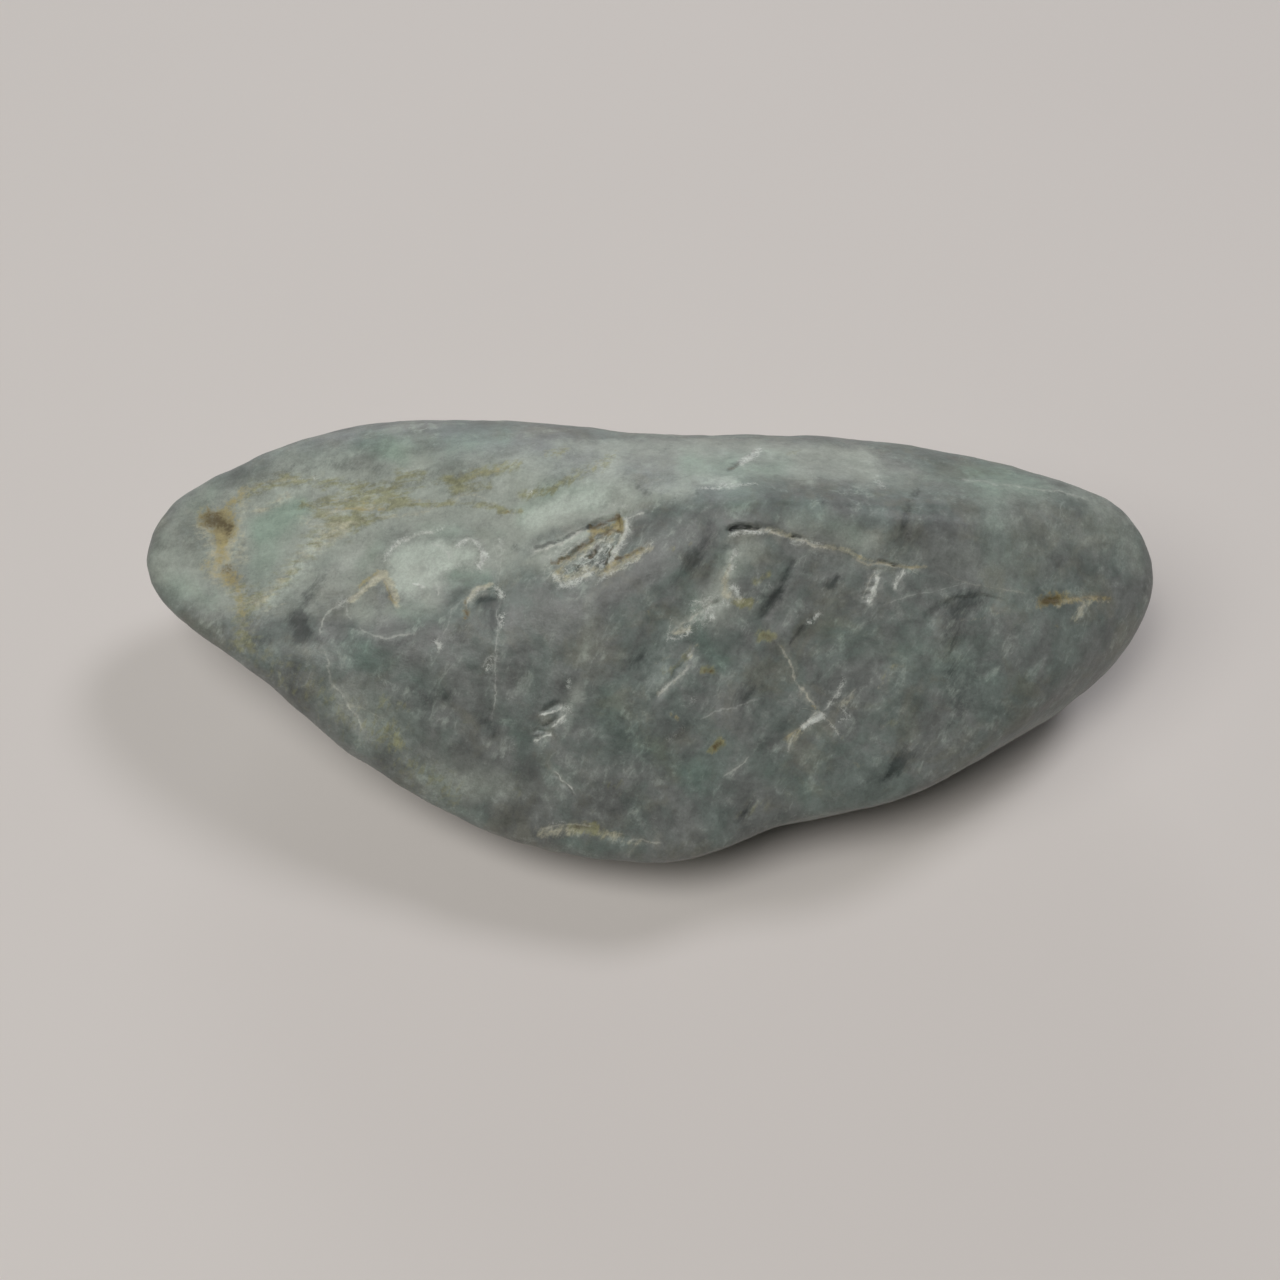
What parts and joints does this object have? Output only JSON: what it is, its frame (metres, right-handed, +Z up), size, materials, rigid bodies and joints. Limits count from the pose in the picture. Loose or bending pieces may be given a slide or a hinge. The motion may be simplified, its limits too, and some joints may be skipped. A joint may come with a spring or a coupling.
{
  "type": "jadeite beach pebble",
  "caption": "Water-worn oblong stone with a ridged, veined top, blunt rounded ends and a worn flat underneath that it rests on.",
  "frame": {"origin": "on the surface that the stone rests on, under the middle of its bounding box", "axes": "+X along the stone's length to its right end, +Y to its back, +Z up"},
  "size_m": [0.061, 0.027, 0.0184],
  "materials": {
    "jadeite": "satin, water-worn, grey-green and mottled, with cream and rust veins"
  },
  "bodies": {
    "root": {"pebble": "jadeite"}
  },
  "joints": []
}
